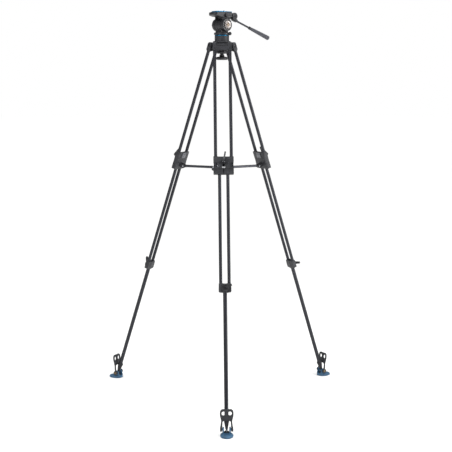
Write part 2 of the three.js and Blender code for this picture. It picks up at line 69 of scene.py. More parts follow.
def leg_frame(leg):
    """X across the leg, Y outwards, Z up along it, with the leg's hinge at 0."""
    out = Vector(joint(f"{leg}_collar_lever_turn")["axis"])
    along = Vector(joint(f"{leg}_middle_slide")["axis"])
    return basis(out.cross(along), out, along, joint(f"{leg}_leg_spread")["pos_m"])


def upright_frame(leg, pivot):
    """X across, Y outwards, Z straight up, with one of the leg's hinges at 0."""
    out = Vector(joint(f"{leg}_collar_lever_turn")["axis"])
    out.z = 0
    out.normalize()
    up = Vector((0, 0, 1))
    return basis(out.cross(up), out, up, joint(f"{leg}_{pivot}")["pos_m"])


def head_frame():
    """X along the tilt axis to the dial, Y towards the handle, Z up from the floor."""
    across = Vector(joint("tilt")["axis"])
    up = Vector((0, 0, 1))
    centre = Vector(joint("pan")["pos_m"])
    centre.z = 0
    return basis(across, up.cross(across), up, centre)


def shift(x=0.0, y=0.0, z=0.0):
    return Matrix.Translation(Vector((x, y, z)) * MM)


def turn(degrees, axis):
    return Matrix.Rotation(math.radians(degrees), 4, axis)


# ---- modelling, with lengths in millimetres ----
def deselect():
    if bpy.context.mode != "OBJECT":
        bpy.ops.object.mode_set(mode="OBJECT")
    bpy.ops.object.select_all(action="DESELECT")


def activate(piece):
    deselect()
    piece.select_set(True)
    bpy.context.view_layer.objects.active = piece


def edit(piece, kind="VERT"):
    """Edit mode with everything selected."""
    activate(piece)
    bpy.ops.object.mode_set(mode="EDIT")
    bpy.ops.mesh.select_mode(type=kind)
    bpy.ops.mesh.select_all(action="SELECT")


def seal(piece):
    """Merge doubled corners and point every face outwards."""
    edit(piece)
    bpy.ops.mesh.remove_doubles(threshold=0.002 * MM)
    bpy.ops.mesh.normals_make_consistent(inside=False)
    bpy.ops.object.mode_set(mode="OBJECT")
    return piece


def turned(profile, sides=40, bored=False):
    """A circle extruded up a profile of (radius, height) pairs about Z. A bored profile closes on its start."""
    deselect()
    radius, height = profile[0]
    fill = "NOTHING" if bored else "NGON"
    bpy.ops.mesh.primitive_circle_add(vertices=sides, radius=radius * MM, fill_type=fill)
    piece = bpy.context.object
    edit(piece)
    bpy.ops.transform.translate(value=(0, 0, height * MM))
    for next_radius, next_height in profile[1:] + (profile[:1] if bored else []):
        rise = (0, 0, (next_height - height) * MM)
        bpy.ops.mesh.extrude_region_move(TRANSFORM_OT_translate={"value": rise})
        grow = next_radius / radius
        bpy.ops.transform.resize(value=(grow, grow, 1), center_override=(0, 0, 0))
        radius, height = next_radius, next_height
    return seal(piece)


def slab(outline, low, high, plane="XZ"):
    """A plate with this outline in the plane, from low to high along the third axis."""
    deselect()
    bpy.ops.mesh.primitive_circle_add(vertices=len(outline), fill_type="NGON")
    piece = bpy.context.object
    place = {"XZ": lambda a, b: (a, low, b), "YZ": lambda a, b: (low, a, b), "XY": lambda a, b: (a, b, low)}
    thick = {"XZ": (0, 1, 0), "YZ": (1, 0, 0), "XY": (0, 0, 1)}[plane]
    for vertex, (a, b) in zip(piece.data.vertices, outline):
        vertex.co = Vector(place[plane](a, b)) * MM
    edit(piece)
    bpy.ops.mesh.extrude_region_move(TRANSFORM_OT_translate={"value": Vector(thick) * (high - low) * MM})
    return seal(piece)


def block(x0, x1, y0, y1, z0, z1):
    """A cube resized to its two corners."""
    deselect()
    bpy.ops.mesh.primitive_cube_add(size=1)
    piece = bpy.context.object
    edit(piece)
    bpy.ops.transform.resize(value=((x1 - x0) * MM, (y1 - y0) * MM, (z1 - z0) * MM), center_override=(0, 0, 0))
    middle = Vector(((x0 + x1) / 2, (y0 + y1) / 2, (z0 + z1) / 2)) * MM
    bpy.ops.transform.translate(value=middle)
    bpy.ops.object.mode_set(mode="OBJECT")
    return piece


def rod(radius, low, high, axis="Z", at=(0, 0), sides=32):
    """A plain round bar along an axis. at is its place on the other two axes, in order."""
    piece = turned([(radius, low), (radius, high)], sides)
    if axis == "X":
        piece.data.transform(shift(0, *at) @ turn(90, "Y"))
    elif axis == "Y":
        piece.data.transform(shift(at[0], 0, at[1]) @ turn(-90, "X"))
    else:
        piece.data.transform(shift(*at))
    return piece


def along(piece, axis, x=0.0, y=0.0, z=0.0):
    """Lay a piece turned about Z along another axis, then move it."""
    lay = {"X": turn(90, "Y"), "-X": turn(-90, "Y"), "Y": turn(-90, "X"), "Z": turn(0, "Z")}[axis]
    piece.data.transform(shift(x, y, z) @ lay)
    return piece


def rounded(points, radius, steps=4):
    """An outline with each corner replaced by a short curve."""
    result = []
    count = len(points)
    for i, corner in enumerate(points):
        here = Vector(corner)
        before = Vector(points[i - 1]) - here
        after = Vector(points[(i + 1) % count]) - here
        reach = min(radius, before.length * 0.45, after.length * 0.45)
        start = here + before.normalized() * reach
        end = here + after.normalized() * reach
        for k in range(steps + 1):
            t = k / steps
            result.append(tuple(start * (1 - t) ** 2 + here * 2 * t * (1 - t) + end * t ** 2))
    return result


def oblong(a0, b0, a1, b1, radius, steps=8):
    """The outline of a bar with round ends, from one centre to the other."""
    heading = math.atan2(b1 - b0, a1 - a0)
    ends = [(a1, b1, heading - math.pi / 2), (a0, b0, heading + math.pi / 2)]
    return [(a + radius * math.cos(start + math.pi * k / steps), b + radius * math.sin(start + math.pi * k / steps))
            for a, b, start in ends for k in range(steps + 1)]


def mirrored(points):
    """Close a right-hand outline, given from bottom to top, with its mirror image."""
    return points + [(-a, b) for a, b in reversed(points)]


def combine(piece, *others, how="UNION"):
    """Boolean others into piece, one after another, and remove them."""
    for other in others:
        activate(piece)
        step = piece.modifiers.new("combine", "BOOLEAN")
        step.operation = how
        step.solver = "EXACT"
        step.object = other
        bpy.ops.object.modifier_apply(modifier=step.name)
        bpy.data.objects.remove(other)
    return piece


def carve(piece, *tools):
    return combine(piece, *tools, how="DIFFERENCE")


def soften(piece, width=0.6, segments=2, angle=32):
    """Round off the sharp edges and shade the rest smooth."""
    activate(piece)
    step = piece.modifiers.new("edges", "BEVEL")
    step.width = width * MM
    step.segments = segments
    step.limit_method = "ANGLE"
    step.angle_limit = math.radians(angle)
    step.use_clamp_overlap = True
    bpy.ops.object.modifier_apply(modifier=step.name)
    bpy.ops.object.shade_smooth_by_angle(angle=math.radians(38))
    return piece


def pick_faces(piece, test):
    """Edit mode with only the faces that pass the test selected."""
    edit(piece, "FACE")
    bpy.ops.mesh.select_all(action="DESELECT")
    bpy.ops.object.mode_set(mode="OBJECT")
    for face in piece.data.polygons:
        face.select = test(face)
    bpy.ops.object.mode_set(mode="EDIT")


def socket_screw(radius, head):
    """A cap screw's head on the X-Y plane, with a hexagon socket."""
    cap = turned([(radius, 0), (radius, head - 0.4), (radius - 0.4, head)], 24)
    hole = turned([(radius * 0.52, head * 0.45), (radius * 0.52, head + 1)], 6)
    carve(cap, hole)
    return soften(cap, 0.15, 1)


# ---- finishes ----
def linear(text):
    """An sRGB hex colour as linear RGBA."""
    parts = [int(text[i:i + 2], 16) / 255 for i in (1, 3, 5)]
    return [p / 12.92 if p <= 0.04045 else ((p + 0.055) / 1.055) ** 2.4 for p in parts] + [1]


def add(material, kind, sockets=None, **settings):
    """Add a node with its settings. A socket takes a value or another node's output."""
    node = material.node_tree.nodes.new(kind)
    for key, value in settings.items():
        setattr(node, key, value)
    for name, value in (sockets or {}).items():
        if isinstance(value, bpy.types.NodeSocket):
            material.node_tree.links.new(value, node.inputs[name])
        else:
            node.inputs[name].default_value = value
    return node


def new_material(name):
    """A material with only its shader and output, and the piece's own coordinates ready to read."""
    material = bpy.data.materials.new(name)
    material.use_nodes = True
    shader = material.node_tree.nodes["Principled BSDF"]
    own = add(material, "ShaderNodeAttribute", attribute_name="own").outputs["Vector"]
    return material, shader, own


def connect(material, output, shader, socket):
    material.node_tree.links.new(output, shader.inputs[socket])


def blend_colours(material, factor, dark, light):
    ramp = add(material, "ShaderNodeValToRGB", {"Fac": factor})
    ramp.color_ramp.elements[0].position = 0.3
    ramp.color_ramp.elements[0].color = linear(dark)
    ramp.color_ramp.elements[1].position = 0.7
    ramp.color_ramp.elements[1].color = linear(light)
    return ramp.outputs["Color"]


def spread(material, factor, low, high):
    node = add(material, "ShaderNodeMapRange", {"Value": factor, "From Min": 0.3, "From Max": 0.7,
                                                "To Min": low, "To Max": high})
    return node.outputs["Result"]


def grain(material, vector, size_mm, detail=3.0, stretch=(1, 1, 1)):
    """Noise whose blobs are about size_mm across, drawn out along the axes whose stretch is above 1."""
    scale = [1 / (size_mm * MM * s) for s in stretch]
    mapped = add(material, "ShaderNodeMapping", {"Vector": vector, "Scale": scale})
    noise = add(material, "ShaderNodeTexNoise", {"Vector": mapped.outputs["Vector"], "Scale": 1.0,
                                                 "Detail": detail, "Roughness": 0.6})
    return noise.outputs["Fac"]


def relief(material, shader, height, depth_mm, strength):
    bump = add(material, "ShaderNodeBump", {"Height": height, "Distance": depth_mm * MM, "Strength": strength})
    connect(material, bump.outputs["Normal"], shader, "Normal")


def anodised_tube(name, dark, light, metallic=0.75):
    """Drawn aluminium tube, anodised: long faint die lines along Z and a satin gloss."""
    material, shader, own = new_material(name)
    lines = grain(material, own, 1.2, 4, (1, 1, 60))
    connect(material, blend_colours(material, lines, dark, light), shader, "Base Color")
    connect(material, spread(material, lines, 0.30, 0.42), shader, "Roughness")
    shader.inputs["Metallic"].default_value = metallic
    relief(material, shader, lines, 0.02, 0.25)
    return material


def cast_paint(name, dark, light, grit_mm=0.9, depth=0.12, rough=(0.45, 0.62), metallic=0.15):
    """Die-cast alloy under textured paint: a fine even grit, a little patchy, drawn as coarse as it needs to show."""
    material, shader, own = new_material(name)
    grit = grain(material, own, grit_mm, 4)
    patches = grain(material, own, 22, 2)
    mix = add(material, "ShaderNodeMath", {0: grit, 1: patches}, operation="MULTIPLY_ADD")
    mix.inputs[2].default_value = 0.12
    factor = add(material, "ShaderNodeMath", {0: mix.outputs[0], 1: 1.25}, operation="MULTIPLY").outputs[0]
    connect(material, blend_colours(material, factor, dark, light), shader, "Base Color")
    connect(material, spread(material, grit, *rough), shader, "Roughness")
    shader.inputs["Metallic"].default_value = metallic
    relief(material, shader, grit, depth, 0.6)
    return material


def moulded(name, dark, light, rough=(0.38, 0.52), grain_mm=0.6, depth=0.05):
    """Injection-moulded nylon or rubber: a fine spark texture and a slight bloom in large soft patches."""
    material, shader, own = new_material(name)
    fine = grain(material, own, grain_mm, 2)
    bloom = grain(material, own, 15, 3)
    connect(material, blend_colours(material, bloom, dark, light), shader, "Base Color")
    connect(material, spread(material, fine, *rough), shader, "Roughness")
    shader.inputs["Specular IOR Level"].default_value = 0.4
    relief(material, shader, fine, depth, 0.5)
    return material


def anodised_colour(name, dark, light, rough=(0.22, 0.34)):
    """Machined aluminium, dyed and anodised: bright, with faint tool marks around it."""
    material, shader, own = new_material(name)
    marks = grain(material, own, 0.8, 3, (6, 6, 1))
    connect(material, blend_colours(material, marks, dark, light), shader, "Base Color")
    connect(material, spread(material, marks, *rough), shader, "Roughness")
    shader.inputs["Metallic"].default_value = 0.85
    relief(material, shader, marks, 0.02, 0.3)
    return material


def turned_metal(name, dark, light, axis="X", pitch_mm=0.7):
    """Metal faced on a lathe: fine rings about the piece's axis, which spread the highlight into a fan."""
    material, shader, own = new_material(name)
    rings = add(material, "ShaderNodeTexWave", {"Vector": own, "Scale": 1 / (pitch_mm * MM) / 20, "Distortion": 0.4,
                                                "Detail": 2.0},
                wave_type="RINGS", rings_direction=axis)
    tone = grain(material, own, 6, 2)
    connect(material, blend_colours(material, tone, dark, light), shader, "Base Color")
    connect(material, spread(material, rings.outputs["Fac"], 0.24, 0.38), shader, "Roughness")
    shader.inputs["Metallic"].default_value = 0.9
    relief(material, shader, rings.outputs["Fac"], 0.03, 0.35)
    return material


def plated(name, dark, light):
    """Zinc-plated steel: a cloudy bright metal."""
    material, shader, own = new_material(name)
    cloud = grain(material, own, 3, 4)
    connect(material, blend_colours(material, cloud, dark, light), shader, "Base Color")
    connect(material, spread(material, cloud, 0.22, 0.4), shader, "Roughness")
    shader.inputs["Metallic"].default_value = 1.0
    relief(material, shader, cloud, 0.02, 0.2)
    return material


def foam_rubber(name, dark, light):
    """Closed-cell foam rubber: small open pores and a dry sheen."""
    material, shader, own = new_material(name)
    cells = add(material, "ShaderNodeTexVoronoi", {"Vector": own, "Scale": 1 / (1.4 * MM)}, feature="F1")
    pores = grain(material, own, 2.4, 4)
    connect(material, blend_colours(material, pores, dark, light), shader, "Base Color")
    connect(material, spread(material, pores, 0.72, 0.9), shader, "Roughness")
    shader.inputs["Sheen Weight"].default_value = 0.15
    relief(material, shader, cells.outputs["Distance"], 0.18, 0.5)
    return material


def make_finishes():
    """Every finish of the tripod, keyed by its own use."""
    tint = bpy.context.scene.tripod_colours
    return {
        "tube": anodised_tube("black_anodised_tube", "#27282c", "#3a3b41"),
        # Painted light: the spreader arms are the same black anodised tube as the legs, with the same die lines; this
        # copy is lighter to paint in the light that falls on them.
        "arm_tube": anodised_tube("grey_anodised_arm", "#2e2f33", "#47484f"),
        "casting": cast_paint("grey_cast_paint", "#1c1d20", "#35363c", 1.6),
        "light_casting": cast_paint("silver_cast_paint", "#5a5b60", "#7b7c80", 0.8, 0.06, (0.4, 0.55), 0.4),
        "lever": moulded("black_nylon", "#19191c", "#2a2b2f"),
        "strap_rubber": moulded("black_strap_rubber", "#202125", "#34353a", (0.55, 0.75), 1.0, 0.08),
        "pad_rubber": moulded("blue_pad_rubber", tint.pad_dark, tint.pad_light, (0.45, 0.65), 0.9, 0.08),
        "blue_anodised": anodised_colour("blue_anodised", tint.ring_dark, tint.ring_light),
        "head_casting": cast_paint("black_head_paint", "#1d1d20", "#2d2e32", 0.7, 0.08, (0.32, 0.48), 0.2),
        "dial": turned_metal("silver_dial", "#7c7673", "#a09a97"),
        "dial_centre": turned_metal("bronze_button", "#5a5047", "#83776a"),
        "steel": plated("zinc_plated_steel", "#84868b", "#b9bcc2"),
        "brass": plated("brass_pin", "#564a39", "#7c6c52"),
        "bright_zinc": cast_paint("bright_zinc_bar", "#b4b5b8", "#dadbdd", 0.8, 0.04, (0.3, 0.45), 0.2),
        "dark_metal": cast_paint("blackened_steel", "#1d1d20", "#2e2e33", 0.8, 0.05, (0.3, 0.45), 0.5),
        "grip_foam": foam_rubber("foam_grip", "#2f3036", "#4b4c54"),
        "plate_rubber": moulded("plate_rubber", "#1a1a1d", "#29292e", (0.6, 0.8), 0.8, 0.1),
        "mark": moulded("white_print", "#b9b9b6", "#d8d8d4"),
    }


finishes = {}


def put(piece, name, place, body, finish, *nodes):
    """A finished copy of a piece: placed, painted, riding on its body and standing for its CAD nodes."""
    copy = piece.copy()
    copy.data = piece.data.copy()
    bpy.context.scene.collection.objects.link(copy)
    copy.name = name
    own = copy.data.attributes.new("own", "FLOAT_VECTOR", "POINT")
    own.data.foreach_set("vector", [c for v in copy.data.vertices for c in v.co])
    copy.data.transform(place)
    copy.data.materials.clear()
    copy.data.materials.append(finishes[finish])
    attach(copy, body)
    if nodes:
        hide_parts(*nodes)
    return copy


def put_all(piece, name, copies):
    """A copy for each (word in the name, place, body, finish, nodes), then the master is removed."""
    for word, place, body, finish, *nodes in copies:
        put(piece, name.format(word), place, body, finish, *nodes)
    bpy.data.objects.remove(piece)


def extent(node, place):
    """A CAD node's lowest and highest corner in a frame, in millimetres."""
    inverse = place.inverted()
    corners = [inverse @ vertex.co / MM for vertex in frame["nodes"][node].data.vertices]
    return Vector(map(min, zip(*corners))), Vector(map(max, zip(*corners)))


# ---- legs, each piece in the leg's frame: X across, Y outwards, Z up the leg from its hinge ----
def make_tubes(wall):
    """The drawn tubes, which are all turned alike and differ in length and bore."""
    front = leg_frame("front")
    for part, stage in (("upper_tube_a", "upper"), ("upper_tube_b", "upper"), ("middle_tube_a", "middle"),
                        ("middle_tube_b", "middle"), ("lower_tube", "lower")):
        low, high = extent(f"front_{part}", front)
        radius = (high.x - low.x) / 2
        bore = radius - wall
        tube = turned([(bore, low.z), (radius, low.z), (radius, high.z), (bore, high.z)], 40, True)
        soften(tube, 0.25, 1)
        middle = (high.x + low.x) / 2
        put_all(tube, "{}_" + part + "_drawn",
                [(leg, leg_frame(leg) @ shift(middle), f"{leg}_{stage}_stage", "tube", f"{leg}_{part}")
                 for leg in LEGS])


def shoulder():
    """Two ears with tube sockets, joined by an arched web below the hinge."""
    ear = oblong(0, 5, 0, -18.4, 9.4, 10)
    body = slab(ear, 26.3, 43.6, "YZ")
    arch = [(28.3 - 56.6 * k / 14, 0) for k in range(15)]
    arch = [(x, -26.5 + 3 * (1 - (x / 28.3) ** 2)) for x, _ in arch]
    web = slab([(-28.3, -6), (28.3, -6)] + arch, -7.8, 9.3)
    sleeves = [rod(9, -28, -14, at=(x, 0), sides=36) for x in (-34.6, 34.6)]
    combine(body, slab(ear, -43.6, -26.3, "YZ"), web, *sleeves)
    carve(body, rod(9.8, -26.2, 26.2, "X", sides=40))
    carve(body, rod(4.3, -60, 60, "X"), rod(7.2, 41.2, 60, "X"), rod(7.2, -60, -41.2, "X"),
          *[rod(7.4, -60, -16, at=(x, 0), sides=40) for x in (-35, 35)])
    return soften(body, 0.7, 3)


def hinge_bolt():
    """A button-head bolt that closes the hinge pin at the ear. It faces along X."""
    head = turned([(6.6, 0), (6.6, 0.9), (5.4, 1.9), (0, 2.2)], 32)
    carve(head, turned([(2.4, 0.8), (2.4, 4)], 6))
    return soften(along(head, "X", 41.25), 0.2, 2)


def collar():
    """The joining block: wide ends, a waist with windows onto the tubes, and lugs for the spreader."""
    side = [(45, -604.6), (45, -576.6), (43.8, -572.6), (43.8, -554), (45, -550), (45, -519)]
    body = slab(rounded(mirrored(side), 2.6), -10, 10)
    top, bottom = -553.5, -573.5
    waists = [block(-41, 41, 8.3 * s, 14 * s, bottom, top) for s in (-1, 1)]
    slope = slab([(-20, -516.4), (20, -530.4), (20, -500), (-20, -500)], -60, 60, "YZ")
    carve(body, *waists, slope)
    ribs = [rod(8.9, bottom - 3, top + 3, at=(x, 0), sides=40) for x in (-18.3, 18.3)]
    cheek = oblong(-6, -583.5, -27, -583.5, 8.5, 10)
    combine(body, *ribs, *[slab(cheek, x, x + 4, "YZ") for x in (-10.5, 6.5)])
    windows = [block(x - 4.6, x + 4.6, 2.5 * s, 14 * s, bottom + 0.5, top - 0.5) for x in (-35, 35) for s in (-1, 1)]
    carve(body, *windows)
    panel = rounded([(-41, -600.5), (41, -600.5), (41, -581), (-41, -581)], 2)
    carve(body, slab(panel, 9.2, 12), *[rod(7.5, -596.6, 0, at=(x, 0), sides=40) for x in (-35, 35)],
          *[rod(7.5, -620, 0, at=(x, 0), sides=40) for x in (-18.3, 18.3)], rod(9.4, -620, 0, sides=40),
          rod(2.6, -14, 14, "X", (-27, -583.5)))
    return soften(body, 0.6, 2)


def tube_bush():
    """The nylon bush that shows round a tube where it enters a casting."""
    return soften(turned([(7.7, 0), (9.6, 0), (9.6, 1.2), (8.9, 1.9), (7.7, 1.9)], 36, True), 0.2, 1)


def clamp_plate():
    """The pressure plate that the wing lever pulls against the collar's inner side."""
    plate = slab(rounded([(-17, -549), (17, -549), (14, -523), (-14, -523)], 4), -12.8, -10)
    rib = slab(rounded([(-3.5, -547), (3.5, -547), (3, -525), (-3, -525)], 1.5), -14, -12)
    combine(plate, rib)
    return soften(plate, 0.7, 3)


def stop_bar():
    """The plated bar across the waist that stops the wing lever."""
    bar = slab(rounded([(-7.5, -577), (7.5, -577), (7.5, -571.8), (-7.5, -571.8)], 1.4), 9.3, 11.6)
    return soften(bar, 0.5, 2)


def wing_lever(wing, half, hub, edge):
    """A turned hub with one thin wing, on the X-Z plane, turning about Y."""
    lever = along(hub, "Y")
    blade = slab(rounded(wing, 4, 5), -half, half, "YZ")
    pick_faces(blade, lambda face: abs(face.normal.x) > 0.9)
    bpy.ops.mesh.inset(thickness=1.6 * MM, depth=-0.7 * MM, use_individual=True)
    bpy.ops.object.mode_set(mode="OBJECT")
    combine(lever, blade)
    return soften(lever, edge, 3)


def clamp():
    """The lower clamp: tube sockets either side of a round boss, slit below it to close on the tube."""
    side = [(11, -1132.5), (26, -1129.8), (27.7, -1127), (27.7, -1108), (26.2, -1099), (26, -1092)]
    body = slab(rounded(mirrored(side), 3), -9.6, 8.6)
    sleeves = [rod(9.2, -1128, -1092, at=(x, 0), sides=40) for x in (-18.3, 18.3)]
    boss = rod(16.6, 4, 10.2, "Y", (0, -1113), 48)
    neck = rod(11, -1132.4, -1100, sides=40)
    combine(body, *sleeves, boss, neck)
    arch = rod(9.5, -20, 20, "Y", (0, -1085.5), 40)
    carve(body, arch, *[rod(7.5, -1123.5, -1000, at=(x, 0), sides=40) for x in (-18.3, 18.3)],
          rod(9.25, -1160, -1000, sides=44), block(-0.6, 0.6, -20, 0, -1150, -1118))
    return soften(body, 0.6, 3)


def spike_sleeve(drop):
    """The cast cone that sleeves the lower tube, drop below the leg's hinge."""
    profile = [(9.15, 31), (9.15, 50), (11.4, 50), (12.9, 48), (13.3, 45.6), (12.3, 38), (6.3, 7.5), (5, 0),
               (4.2, -2), (3, -2), (3, 31)]
    cone = turned([(r, h - drop) for r, h in profile], 44, True)
    return soften(cone, 0.5, 2)


def spike_tip(drop):
    """The steel point in the cone, with a ground flank."""
    profile = [(3, 12), (3, -2.2), (3.9, -2.6), (3.9, -7), (1.1, -13.9), (0, -14.5)]
    return soften(turned([(r, h - drop) for r, h in profile[::-1]][::-1], 32), 0.2, 2)


# ---- feet, in an upright frame at the foot's pivot ----
def foot_pad():
    """An oval rubber sole with a rounded wall, and two lugs that hold the spike's cup."""
    ring = [(25.4, -27), (27.2, -26), (27.8, -23.4), (27.5, -20.4), (26, -17.8), (23, -16.2), (16, -15.3)]
    sole = turned(ring, 72)
    sole.data.transform(shift(0, 13) @ Matrix.Diagonal((1, 35.7 / 27.8, 1, 1)))
    lug = rounded([(-18, -18), (18, -18), (12, -2), (9.5, 6.5), (4.5, 10.4), (-4.5, 10.4), (-9.5, 6.5), (-12, -2)], 3)
    lugs = [slab(lug, x, x + 6, "YZ") for x in (-17.5, 11.5)]
    ridge = slab(rounded([(-15, -18), (15, -18), (10.5, -11.5), (-10.5, -11.5)], 2.5), 15, 20)
    bosses = [rod(5.4, 17, 19, "X", sides=32), rod(5.4, -19, -17, "X", sides=32)]
    combine(sole, *lugs, ridge, *bosses)
    return soften(sole, 1.0, 3)


def spike_cup():
    """The hard socket between the lugs that the spike stands in."""
    cup = turned([(11.2, -15.8), (11.2, -12.6), (9.6, -8), (7.4, -7), (6.6, -8), (5.6, -14.4), (0, -14.8)], 40)
    return soften(cup, 0.5, 2)


def curve(start, first, second, end, steps=10):
    """Points along a cubic curve, without its start."""
    a, b, c, d = map(Vector, (start, first, second, end))
    points = []
    for k in range(1, steps + 1):
        t = k / steps
        points.append(tuple(a * (1 - t) ** 3 + b * 3 * t * (1 - t) ** 2 + c * 3 * t * t * (1 - t) + d * t ** 3))
    return points


def foot_strap():
    """The rubber strap: two legs on the foot's pins, a web, and two finger loops."""
    half = [(0, 39.4), (10, 38.6), (17, 36), (19.3, 0), (27.9, 0), (23.5, 36)]
    half += curve((23.5, 36), (25, 52), (30, 58), (29, 75)) + curve((29, 75), (28, 89), (20, 92.6), (11, 91))
    half += [(4, 90.4), (0, 90.2)]
    outline = half + [(-a, b) for a, b in reversed(half[1:-1])]
    strap = slab(outline, -2.5, 2.5)
    combine(strap, *[rod(9.9, x, x + 8.4, "X", sides=44) for x in (-27.9, 19.5)])
    loops = []
    for side in (-1, 1):
        loop = along(turned([(9.6, -10), (9.6, 10)], 40), "Y")
        loop.data.transform(shift(13.8 * side, 0, 72) @ Matrix.Diagonal((8 / 9.6, 1, 1, 1)))
        loops.append(loop)
    carve(strap, *loops, rod(4.3, -40, 40, "X"))
    return soften(strap, 1.3, 4)


def strap_pin():
    """The brass-coloured pin that the strap's eye turns on, with a dimpled head. It faces along X."""
    pin = turned([(4, 0), (4, 9.7), (6.4, 9.7), (6.4, 10.4), (5.4, 11), (3, 11), (2.4, 10.4), (0, 10.4)], 32)
    return soften(along(pin, "X", 17.3), 0.25, 2)


# ---- spreader, in an upright frame at the arm's outer pivot ----
def spreader_tube(reach):
    """The arm's tube, running inwards."""
    tube = along(turned([(4.8, 11), (6, 11), (6, reach - 9), (4.8, reach - 9)], 36, True), "Y", y=-reach)
    return soften(tube, 0.25, 1)


def spreader_eye(radius, half, out):
    """A moulded eye that plugs into the arm's end. Its sleeve runs out from the pivot along Y."""
    eye = rod(radius, -half, half, "X", sides=36)
    neck = slab(rounded([(-half, 0), (half, 0), (half + 0.8, 9 * out), (-half - 0.8, 9 * out)], 1), -4.6, 4.6, "XY")
    sleeve = rod(6.6, min(9 * out, 15 * out), max(9 * out, 15 * out), "Y", sides=36)
    plug = rod(4.75, min(4 * out, 20 * out), max(4 * out, 20 * out), "Y", sides=36)
    combine(eye, neck, sleeve, plug)
    carve(eye, rod(2.6, -20, 20, "X"))
    return soften(eye, 0.4, 2)


def rivet(half, radius=2.5, head=4.4):
    """A pin across a joint, with a domed head at both ends, along X."""
    profile = [(0, -half - 1.7), (head * 0.7, -half - 1.4), (head, -half - 0.2), (radius, -half),
               (radius, half), (head, half + 0.2), (head * 0.7, half + 1.4), (0, half + 1.7)]
    pin = turned([(0.2, -half - 1.7)] + profile[1:], 28)
    return soften(along(pin, "X"), 0.15, 1)


def spreader_hub():
    """The hub plate: a rimmed disc with lightening holes, and a notch and two cheeks for each arm."""
    disc = turned([(8, -16), (40.8, -16), (41.9, -14.8), (41.9, -11), (39.8, -11), (38.8, -12.6), (17, -12.6),
                   (16, -11), (8, -11)], 72, True)
    cheek = rounded([(32, -15), (49, -15), (49, -2), (45, 6), (39, 6), (34, -2)], 2.5)
    for azimuth in (270, 30, 150):
        notch = block(-6.9, 6.9, 28.5, 60, -20, 0)
        notch.data.transform(turn(azimuth - 90, "Z"))
        carve(disc, notch)
        for x in (-9.9, 6.9):
            piece = slab(cheek, x, x + 3, "YZ")
            piece.data.transform(turn(azimuth - 90, "Z"))
            combine(disc, piece)
        hole = rod(8, -30, 0, at=(0, 27), sides=36)
        hole.data.transform(turn(azimuth - 30, "Z"))
        carve(disc, hole)
    return soften(disc, 0.4, 2)


# ---- bowl and ball, about the tripod's axis, with heights from the floor ----
def arc(radius, centre, start, end, steps=14):
    """Profile points on a ball, from one angle to another, measured from its lowest point."""
    angles = [math.radians(start + (end - start) * k / steps) for k in range(steps + 1)]
    return [(radius * math.sin(a), centre - radius * math.cos(a)) for a in angles]


def bowl():
    """The bowl casting: seat, rim, and a hinge barrel with its pin for each leg."""
    seat = arc(33.2, 1667, 34, 88.5)
    body = turned(seat + [(34.2, 1666.9), (39.6, 1666.9), (40.4, 1666), (40.4, 1660), (36.6, 1657.5), (35, 1643),
                          (26, 1633), (18.5, 1633)], 96, True)
    for azimuth in (270, 30, 150):
        barrel = slab(oblong(36, 1648, 42.1, 1648, 8.9, 12), -25.4, 25.4, "YZ")
        pin = rod(4, -41.5, 41.5, "X", (42.1, 1648))
        for piece in (barrel, pin):
            piece.data.transform(turn(azimuth - 90, "Z"))
        combine(body, barrel, pin)
    carve(body, turned([(18.51, 1600)] + seat + [(33.3, 1690)], 96))
    return soften(body, 0.6, 2)


def half_ball():
    flat = 1637
    start = math.degrees(math.acos((1667 - flat) / 32.5))
    ball = turned([(8.5, 1590), (8.5, flat)] + arc(32.5, 1667, start, 90, 20)[0:] + [(30, 1667.2)], 96)
    return soften(ball, 0.3, 2, 40)


def pressure_cup():
    """The cup that clamps the ball from below, slotted so that the stem can lean across it."""
    cup = turned([(20.5, 1610.6), (22.6, 1611.4), (24, 1613.6), (24, 1622), (22.8, 1624), (19, 1624.9)], 60)
    carve(cup, slab(oblong(0, -10, 0, 10, 9.3, 12), 1600, 1640, "XY"))
    return soften(cup, 0.5, 2)


def tie_down_knob():
    """A wide flat knob with a fluted rim and a threaded neck."""
    grip = turned([(9, 1582), (21, 1582), (26.5, 1584), (28.2, 1586.6), (28.4, 1591.4), (26, 1594.8), (18, 1596.6),
                   (11.4, 1598), (11.2, 1605.9), (9, 1605.9)], 96, True)
    flutes = []
    for k in range(24):
        flute = rod(2.2, 1570, 1600, at=(30, 0), sides=16)
        flute.data.transform(turn(15 * k, "Z"))
        flutes.append(flute)
    carve(grip, *flutes)
    combine(grip, turned([(9.5, 1582.6), (9.5, 1588.4)], 40))
    return soften(grip, 0.4, 2)


# ---- head, in its own frame: X along the tilt axis to the dial, Y towards the handle ----
TILT = 1740
HANDLE_PITCH = 19.3


def head_base():
    base = turned([(28.5, 1667.3), (30, 1668.2), (32.6, 1678), (32.2, 1679.2), (20, 1679.2), (20, 1695)], 80)
    return soften(base, 0.4, 2)


def drag_ring(ribs):
    """The blue ring, with scallops for the fingers all round."""
    ring = turned([(20.4, 1679.6), (31.8, 1679.6), (32.9, 1681), (32.9, 1693.6), (31.8, 1695), (20.4, 1695)], 120, True)
    scallops = []
    for k in range(ribs):
        scallop = rod(5, 1682, 1692.6, at=(36.4, 0), sides=24)
        scallop.data.transform(turn(360 * k / ribs, "Z"))
        scallops.append(scallop)
    carve(ring, *scallops)
    return soften(ring, 0.45, 2)


